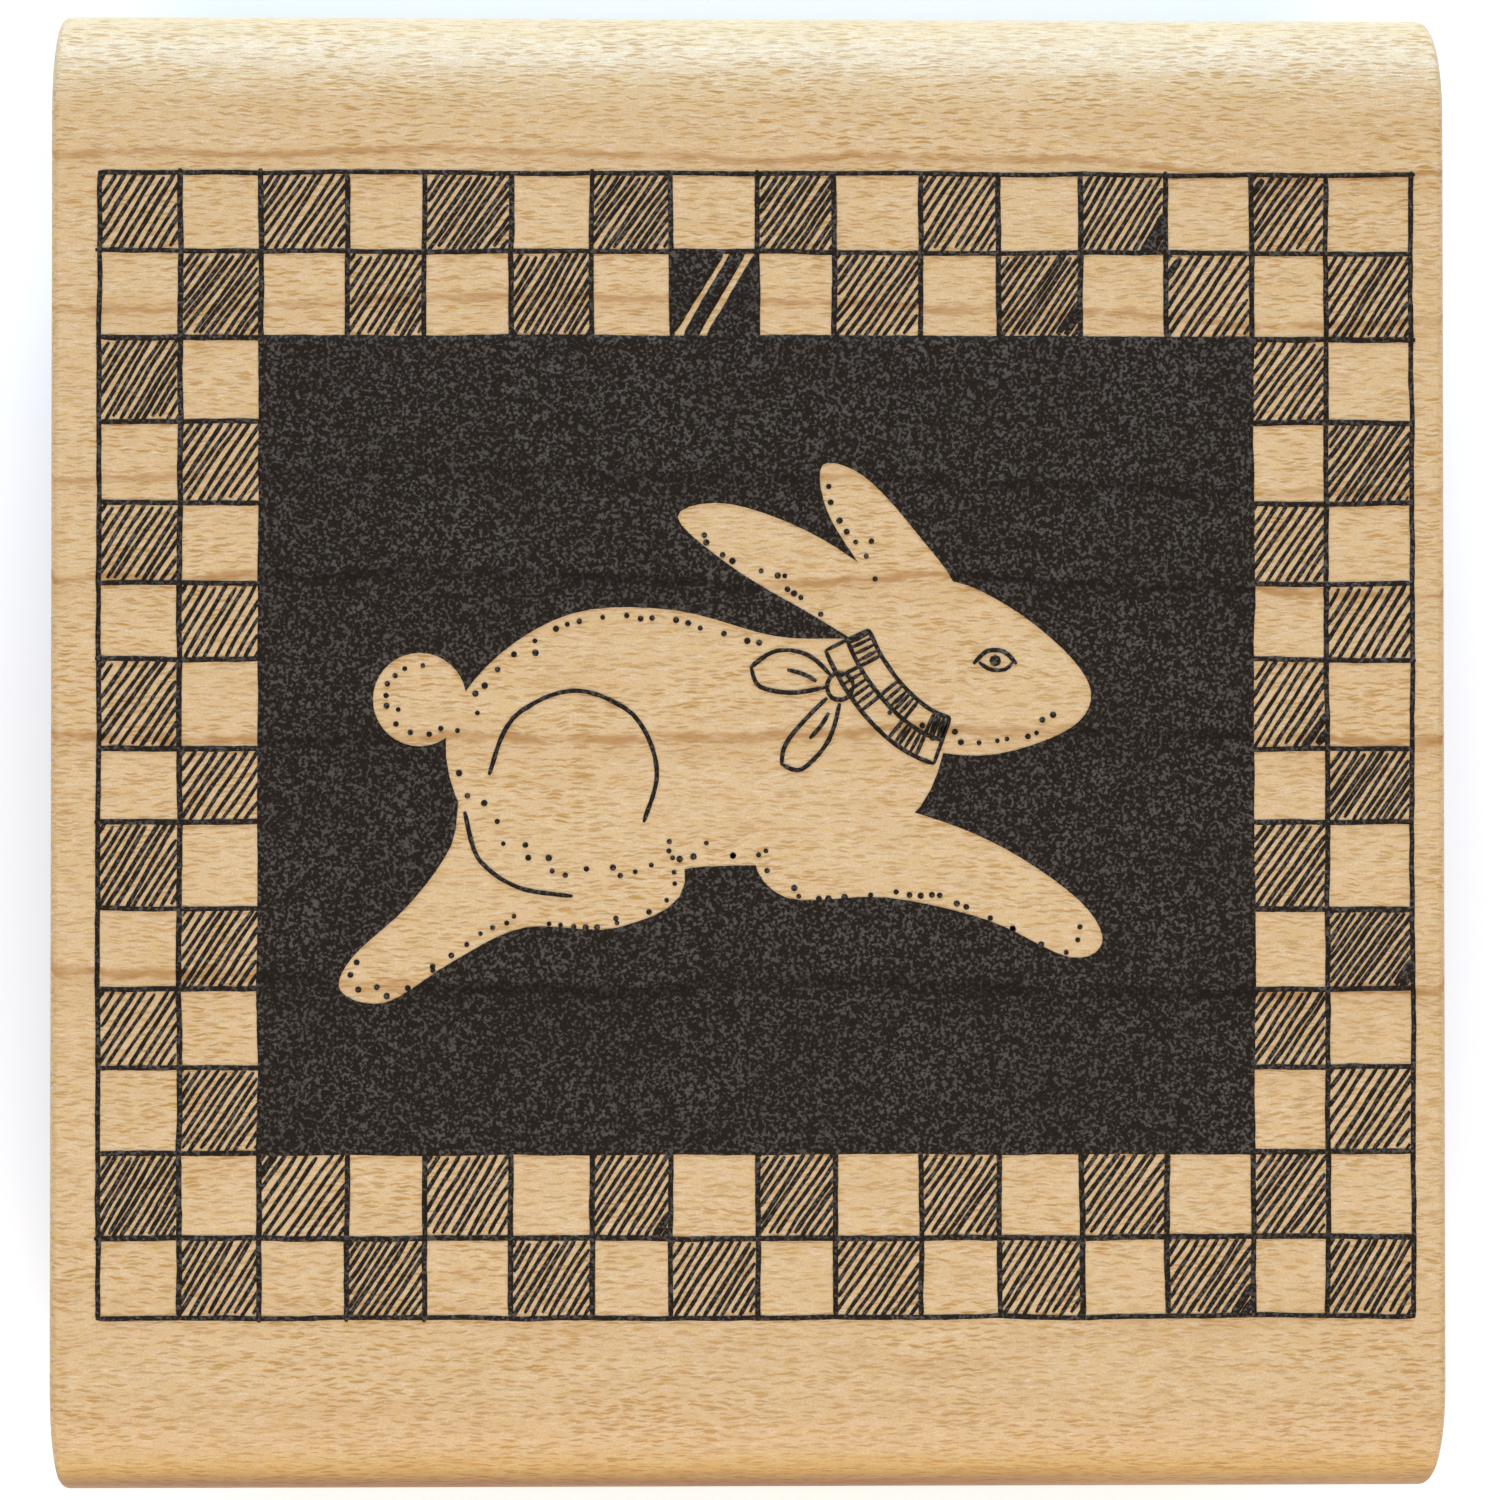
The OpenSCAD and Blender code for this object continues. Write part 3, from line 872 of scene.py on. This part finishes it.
    def stipple(self, outline, low, high):
        """Dots just inside part of an outline."""
        stray = self.random
        middle = sum((Vector(p) for p in outline), Vector((0, 0))) / len(outline)
        start, end = int(low * len(outline)), int(high * len(outline))
        travelled, wanted = 0.0, 0.4
        for a, b in zip(outline[start:end], outline[start + 1:end + 1]):
            a, b = Vector(a), Vector(b)
            travelled += (b - a).length
            while travelled > wanted:
                inward = (middle - b).normalized()
                point = b + inward * stray.choice((0.55, 0.6, 0.7, 1.25))
                self.dots.append((*self.place(point), stray.uniform(0.13, 0.19) * MM))
                wanted += stray.uniform(0.6, 1.3)


def lines_mesh(drawing):
    """The pen lines as a mesh of edges, each point with its pen's width and its layer."""
    mesh = bpy.data.meshes.new("pen_lines")
    points, edges, widths, layers = [], [], [], []
    for line, width, layer in drawing.lines:
        first = len(points)
        points += [(x, y, 0.0) for x, y in line]
        edges += [(first + k, first + k + 1) for k in range(len(line) - 1)]
        widths += [width] * len(line)
        layers += [layer] * len(line)
    mesh.from_pydata(points, edges, [])
    mesh.attributes.new("pen", "FLOAT", "POINT").data.foreach_set("value", widths)
    mesh.attributes.new("layer", "INT", "POINT").data.foreach_set("value", layers)
    return mesh


def dots_mesh(drawing):
    """The stippled dots as single points, each with its radius."""
    mesh = bpy.data.meshes.new("dots")
    mesh.from_pydata([(x, y, 0.0) for x, y, _r in drawing.dots], [], [])
    radii = [radius for _x, _y, radius in drawing.dots]
    mesh.attributes.new("pen", "FLOAT", "POINT").data.foreach_set("value", radii)
    return mesh


def panel_mesh(drawing):
    """The dark panel, one unit high."""
    low_x, low_y, high_x, high_y = drawing.panel
    bm = bmesh.new()
    prism(bm, [(low_x, low_y), (high_x, low_y), (high_x, high_y), (low_x, high_y)], 0, 1)
    return mesh_from(bm, "panel")


def rabbit_mesh(drawing):
    """The rabbit's overlapping parts, one unit high and a little over at both ends."""
    bm = bmesh.new()
    outlines = [smooth_outline(points) for points in RABBIT.values()]
    outlines.append(arc(TAIL, TAIL_RADIUS, 0, 350, step=10))
    for outline in outlines:
        prism(bm, [drawing.place(p) for p in outline], -0.5, 1.5)
    return mesh_from(bm, "rabbit")


def group_input(tree, name, kind, default=None):
    """Gives a node tree a named input."""
    socket = tree.interface.new_socket(name, in_out="INPUT", socket_type=kind)
    if default is not None:
        socket.default_value = default


def named(tree, name, kind):
    """A mesh's own attribute."""
    node = add(tree, "GeometryNodeInputNamedAttribute", {"Name": name}, data_type=kind)
    return node.outputs["Attribute"]


def shape_of(tree, piece):
    """The mesh of an object that was given to the tree."""
    return add(tree, "GeometryNodeObjectInfo", {"Object": piece}).outputs["Geometry"]


def shifted(tree, shape, offset):
    """The shape with its points moved by offset."""
    return add(tree, "GeometryNodeSetPosition", {"Geometry": shape, "Offset": offset}).outputs[0]


def picture_tree():
    """Geometry nodes that turn pen lines, dots, a panel and an animal into one raised picture."""
    tree = bpy.data.node_groups.new("raised_picture", "GeometryNodeTree")
    tree.is_modifier = True
    group_input(tree, "Pen Lines", "NodeSocketGeometry")
    for name in ("Dots", "Panel", "Animal", "Backing"):
        group_input(tree, name, "NodeSocketObject")
    for name, default in (("Bottom", 0.0), ("Depth", 0.05 * MM), ("Wobble", 0.05 * MM),
                          ("Uneven Width", 0.3)):
        group_input(tree, name, "NodeSocketFloat", default)
    group_input(tree, "Seed", "NodeSocketInt", 7)
    group_input(tree, "Material", "NodeSocketMaterial")
    tree.interface.new_socket("Picture", in_out="OUTPUT", socket_type="NodeSocketGeometry")
    given = tree.nodes.new("NodeGroupInput").outputs
    result = tree.nodes.new("NodeGroupOutput")

    # Pen lines: resampled, led astray by noise, and given the pen's width
    curve = add(tree, "GeometryNodeMeshToCurve", {"Mesh": given["Pen Lines"]}).outputs[0]
    curve = add(tree, "GeometryNodeResampleCurve", {"Curve": curve, "Length": PEN_STEP},
                mode="LENGTH").outputs[0]
    shift = add(tree, "ShaderNodeCombineXYZ", {"Z": given["Seed"]}).outputs[0]

    def noise_along(waves, detail):
        """Noise with that many waves to the metre."""
        here = tree.nodes.new("GeometryNodeInputPosition").outputs[0]
        place = vector_node(tree, "MULTIPLY_ADD", here, (waves, waves, waves), shift)
        return add(tree, "ShaderNodeTexNoise", {"Vector": place, "Scale": 1.0, "Detail": detail})

    hand = noise_along(420.0, 1.0).outputs["Color"]
    stray = vector_node(tree, "SUBTRACT", hand, (0.5, 0.5, 0.5))
    flat = vector_node(tree, "MULTIPLY", stray, (3.0, 3.0, 0.0))
    offset = add(tree, "ShaderNodeVectorMath", {0: flat, "Scale": given["Wobble"]}, operation="SCALE")
    curve = shifted(tree, curve, offset.outputs[0])
    curve = add(tree, "GeometryNodeSetCurveNormal", {"Curve": curve}, mode="Z_UP").outputs[0]

    press = noise_along(1500.0, 2.0)
    swing = math_node(tree, "MULTIPLY", math_node(tree, "SUBTRACT", press.outputs["Fac"], 0.5), 2.0)
    swing = math_node(tree, "MULTIPLY_ADD", swing, given["Uneven Width"], 1.0)
    share = tree.nodes.new("GeometryNodeSplineParameter").outputs["Length"]
    whole = tree.nodes.new("GeometryNodeSplineLength").outputs["Length"]
    nearest = math_node(tree, "MINIMUM", share, math_node(tree, "SUBTRACT", whole, share))
    taper = smooth_step(tree, nearest, 0.0, PEN_STEP, 0.62, 1.0)
    pen = named(tree, "pen", "FLOAT")
    reach = math_node(tree, "MULTIPLY", math_node(tree, "MULTIPLY", pen, 0.5),
                      math_node(tree, "MULTIPLY", swing, taper))
    nib = add(tree, "GeometryNodeCurvePrimitiveLine", {"Start": (-1, 0, 0), "End": (1, 0, 0)})
    ribbon = add(tree, "GeometryNodeCurveToMesh", {
        "Curve": curve, "Profile Curve": nib.outputs[0], "Scale": reach}).outputs[0]

    # Dots: small eight-sided discs
    dots = add(tree, "GeometryNodeMeshToPoints", {"Mesh": shape_of(tree, given["Dots"])}).outputs[0]
    disc = add(tree, "GeometryNodeMeshCircle", {"Vertices": 8, "Radius": 1.0}, fill_type="NGON")
    spots = add(tree, "GeometryNodeInstanceOnPoints", {
        "Points": dots, "Instance": disc.outputs[0], "Scale": named(tree, "pen", "FLOAT")}).outputs[0]
    spots = add(tree, "GeometryNodeRealizeInstances", {"Geometry": spots}).outputs[0]

    def raise_up(faces):
        """The flat faces as closed solids, from Bottom up to Bottom plus Depth."""
        normal = tree.nodes.new("GeometryNodeInputNormal").outputs[0]
        height = add(tree, "ShaderNodeSeparateXYZ", {0: normal}).outputs["Z"]
        down = add(tree, "FunctionNodeCompare", {0: height, 1: 0.0}, operation="LESS_THAN").outputs[0]
        faces = add(tree, "GeometryNodeFlipFaces", {"Mesh": faces, "Selection": down}).outputs[0]
        lift = add(tree, "ShaderNodeCombineXYZ", {"Z": given["Bottom"]}).outputs[0]
        faces = shifted(tree, faces, lift)
        up = add(tree, "ShaderNodeCombineXYZ", {"Z": given["Depth"]}).outputs[0]
        tops = add(tree, "GeometryNodeExtrudeMesh", {"Mesh": faces, "Offset": up, "Offset Scale": 1.0,
                                                     "Individual": False}).outputs["Mesh"]
        under = add(tree, "GeometryNodeFlipFaces", {"Mesh": faces}).outputs[0]
        joined = tree.nodes.new("GeometryNodeJoinGeometry")
        tree.links.new(under, joined.inputs[0])
        tree.links.new(tops, joined.inputs[0])
        return add(tree, "GeometryNodeMergeByDistance", {
            "Geometry": joined.outputs[0], "Distance": 1e-8}).outputs[0]

    def stretch(mesh):
        """A mesh that is one unit high, from Bottom up to Bottom plus Depth."""
        size = add(tree, "ShaderNodeCombineXYZ", {"X": 1.0, "Y": 1.0, "Z": given["Depth"]}).outputs[0]
        lift = add(tree, "ShaderNodeCombineXYZ", {"Z": given["Bottom"]}).outputs[0]
        return add(tree, "GeometryNodeTransform", {
            "Geometry": mesh, "Translation": lift, "Scale": size}).outputs[0]

    cut = add(tree, "GeometryNodeMeshBoolean", {
        "Mesh 1": stretch(shape_of(tree, given["Panel"])),
        "Mesh 2": stretch(shape_of(tree, given["Animal"])), "Self Intersection": True},
        operation="DIFFERENCE", solver="EXACT")

    # Everything joined into one solid, a layer at a time, because no layer crosses itself
    solid = raise_up(ribbon)
    layer = named(tree, "layer", "INT")
    union = add(tree, "GeometryNodeMeshBoolean", operation="UNION", solver="MANIFOLD")
    meshes = union.inputs["Mesh 2"]
    tree.links.new(cut.outputs["Mesh"], meshes)
    for number in range(Drawing.LAYERS):
        same = add(tree, "FunctionNodeCompare", {2: layer, 3: number}, data_type="INT",
                   operation="EQUAL").outputs[0]
        apart = add(tree, "GeometryNodeSeparateGeometry", {"Geometry": solid, "Selection": same},
                    domain="FACE")
        tree.links.new(apart.outputs["Selection"], meshes)
    tree.links.new(raise_up(spots), meshes)
    tree.links.new(shape_of(tree, given["Backing"]), meshes)
    whole = add(tree, "GeometryNodeRealizeInstances", {"Geometry": union.outputs["Mesh"]}).outputs[0]
    whole = add(tree, "GeometryNodeSetMaterial", {
        "Geometry": whole, "Material": given["Material"]}).outputs[0]
    tree.links.new(whole, result.inputs[0])
    return tree


def raised_picture(name, sizes, bottom, depth, material, backing=None):
    """The whole picture as one mesh, from bottom up by depth, joined to its backing."""
    drawing = Drawing(sizes)
    helpers = {"Dots": mesh_object("dots", dots_mesh(drawing)),
               "Panel": mesh_object("panel", panel_mesh(drawing)),
               "Animal": mesh_object("rabbit", rabbit_mesh(drawing))}
    if backing:
        helpers["Backing"] = backing
    piece = mesh_object(name + "_lines", lines_mesh(drawing))
    tree = bpy.data.node_groups.get("raised_picture") or picture_tree()
    modifier = piece.modifiers.new("raised_picture", "NODES")
    modifier.node_group = tree
    wanted = {**helpers, "Bottom": bottom, "Depth": depth, "Wobble": sizes.wobble, "Seed": sizes.seed,
              "Material": material}
    for socket in tree.interface.items_tree:
        if socket.in_out == "INPUT" and socket.name in wanted:
            modifier[socket.identifier] = wanted[socket.name]
    settled = settle(piece, name)
    for helper in helpers.values():
        bpy.data.objects.remove(helper)
    return settled


# The stage


def area_light(name, place, size, power, colour):
    """A soft light at a place, turned to the block."""
    data = bpy.data.lights.new(name, "AREA")
    data.shape, data.size, data.size_y = "RECTANGLE", *size
    data.energy, data.color = power, colour
    light = bpy.data.objects.new(name, data)
    light.location = place
    light.rotation_euler = (LIT_POINT - light.location).to_track_quat("-Z", "Y").to_euler()
    bpy.context.scene.collection.objects.link(light)


def build_stage(scene):
    """A pale floor, soft lights and a camera nearly straight above."""
    mesh = bpy.data.meshes.new("floor")
    corners = [(x * FLOOR_HALF, y * FLOOR_HALF, -FLOOR_BELOW)
               for x, y in ((-1, -1), (1, -1), (1, 1), (-1, 1))]
    mesh.from_pydata(corners, [], [(0, 1, 2, 3)])
    floor = mesh_object("floor", mesh, floor_finish(scene.stamp_colours))

    world = bpy.data.worlds.new("studio")
    world.use_nodes = True
    background = world.node_tree.nodes["Background"].inputs
    background["Color"].default_value = (1, 1, 1, 1)
    background["Strength"].default_value = 0.28
    scene.world = world
    for light in LIGHTS:
        area_light(*light)

    camera_data = bpy.data.cameras.new("camera")
    camera = bpy.data.objects.new("camera", camera_data)
    scene.collection.objects.link(camera)
    tilt_x, tilt_y = CAMERA_TILT
    camera.location = (-CAMERA_LEFT, -CAMERA_ABOVE * math.tan(tilt_x), BLOCK_HIGH.z + CAMERA_ABOVE)
    camera.rotation_euler = (tilt_x, tilt_y, 0)
    camera_data.sensor_width = SENSOR_WIDTH
    camera_data.lens = SENSOR_WIDTH * CAMERA_ABOVE / CAMERA_SHOWS
    camera_data.shift_x = (CAMERA_LEFT + CAMERA_ABOVE * math.tan(tilt_y)) / CAMERA_SHOWS
    camera_data.clip_start = 0.01
    scene.camera = camera
    scene.view_settings.view_transform = "Standard"


# Operators


class STAMP_OT_wood_block(bpy.types.Operator):
    """Builds the moulded maple block"""

    bl_idname = "stamp.wood_block"
    bl_label = "Wood Block"

    def execute(self, context):
        sizes, colours = context.scene.stamp_sizes, context.scene.stamp_colours
        piece = mesh_object("maple_block", block_mesh(sizes), maple_finish(colours))
        piece.modifiers.new("flat_faces_flat", "WEIGHTED_NORMAL").keep_sharp = True
        block = settle(piece, "maple_block")
        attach(block, "block")
        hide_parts("wood_block")
        return {"FINISHED"}


class STAMP_OT_index_print(bpy.types.Operator):
    """Prints the picture on top of the block"""

    bl_idname = "stamp.index_print"
    bl_label = "Index Print"

    def execute(self, context):
        sizes, colours = context.scene.stamp_sizes, context.scene.stamp_colours
        bottom = PRINT_LOW.z - PRINT_SUNK
        piece = raised_picture("printed_picture", sizes, bottom, PRINT_HIGH.z - bottom,
                               ink_finish(colours))
        middle = (PRINT_LOW + PRINT_HIGH) / 2
        piece.data.transform(Matrix.Translation((middle.x, middle.y, 0)))
        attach(piece, "block")
        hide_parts("index_print")
        return {"FINISHED"}


class STAMP_OT_adhesive_films(bpy.types.Operator):
    """Finishes the two adhesive films"""

    bl_idname = "stamp.adhesive_films"
    bl_label = "Adhesive Films"

    def execute(self, context):
        material = film_finish(context.scene.stamp_colours)
        for name in ("block_adhesive", "die_adhesive"):
            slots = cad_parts[name].data.materials
            slots.clear()
            slots.append(material)
        return {"FINISHED"}


class STAMP_OT_foam_cushion(bpy.types.Operator):
    """Builds the foam cushion, whose cut sides are a little hollow and uneven"""

    bl_idname = "stamp.foam_cushion"
    bl_label = "Foam Cushion"

    def execute(self, context):
        piece = mesh_object("foam_pad", foam_mesh(), foam_finish(context.scene.stamp_colours))
        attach(piece, "die")
        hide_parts("foam_cushion")
        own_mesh(piece)
        return {"FINISHED"}


class STAMP_OT_rubber_die(bpy.types.Operator):
    """Builds the rubber die with its raised picture"""

    bl_idname = "stamp.rubber_die"
    bl_label = "Rubber Die"

    def execute(self, context):
        sizes, colours = context.scene.stamp_sizes, context.scene.stamp_colours
        backing = mesh_object("die_sheet", sheet_mesh())
        piece = raised_picture("die", sizes, DIE_LOW.z, RELIEF + RELIEF_SUNK,
                               rubber_finish(colours), backing)
        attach(piece, "die")
        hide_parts("rubber_die")
        return {"FINISHED"}


class STAMP_OT_stage(bpy.types.Operator):
    """Sets up the floor, the lights and the camera"""

    bl_idname = "stamp.stage"
    bl_label = "Stage"

    def execute(self, context):
        build_stage(context.scene)
        return {"FINISHED"}


class STAMP_PT_panel(bpy.types.Panel):
    """The stamp's sizes, colours and pieces"""

    bl_idname = "STAMP_PT_panel"
    bl_label = "Rubber Stamp"
    bl_space_type = "VIEW_3D"
    bl_region_type = "UI"
    bl_category = "Stamp"

    def draw(self, context):
        """Lists the sizes, the colours and a button for each piece."""
        for group in (context.scene.stamp_sizes, context.scene.stamp_colours):
            column = self.layout.column()
            for name in group.bl_rna.properties.keys():
                if name not in ("rna_type", "name"):
                    column.prop(group, name)
        for operator in OPERATORS:
            self.layout.operator(operator.bl_idname)


OPERATORS = (STAMP_OT_stage, STAMP_OT_wood_block, STAMP_OT_index_print, STAMP_OT_adhesive_films,
             STAMP_OT_foam_cushion, STAMP_OT_rubber_die)
CLASSES = (StampSizes, StampColours, *OPERATORS, STAMP_PT_panel)


def register():
    """Registers the classes, and gives each scene its sizes and colours."""
    for cls in CLASSES:
        bpy.utils.register_class(cls)
    bpy.types.Scene.stamp_sizes = PointerProperty(type=StampSizes)
    bpy.types.Scene.stamp_colours = PointerProperty(type=StampColours)


def unregister():
    """Undoes register."""
    del bpy.types.Scene.stamp_colours
    del bpy.types.Scene.stamp_sizes
    for cls in reversed(CLASSES):
        bpy.utils.unregister_class(cls)


def main():
    """Builds every piece."""
    register()
    for operator in OPERATORS:
        group, name = operator.bl_idname.split(".")
        getattr(getattr(bpy.ops, group), name)()


if __name__ == "__main__":
    main()
